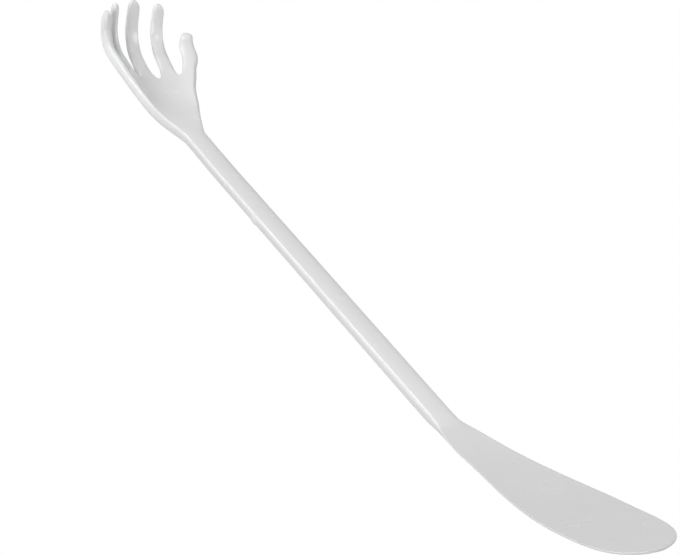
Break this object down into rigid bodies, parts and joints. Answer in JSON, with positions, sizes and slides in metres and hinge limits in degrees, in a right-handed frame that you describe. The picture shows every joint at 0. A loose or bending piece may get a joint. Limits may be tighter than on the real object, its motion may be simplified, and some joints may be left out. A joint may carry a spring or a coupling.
{
  "type": "back scratcher",
  "caption": "Long flat-backed bar with a cupped, claw-fingered hand at one end for scratching the back and a broad upturned shoehorn blade at the other",
  "frame": {"origin": "the middle of the shaft's flat back, the face that the part rests on", "axes": "+X runs along the shaft from the hand to the shoehorn blade, +Y to the thumb's side, +Z out of the palm side, away from the resting face"},
  "size_m": [0.4784, 0.0479, 0.0566],
  "materials": {
    "moulding": "smooth glossy near-white moulding with faint mould marks"
  },
  "bodies": {
    "root": {"shaft": "moulding", "shoehorn_blade": "moulding", "palm": "moulding", "thumb": "moulding", "index_finger": "moulding", "middle_finger": "moulding", "ring_finger": "moulding", "little_finger": "moulding"}
  },
  "joints": []
}
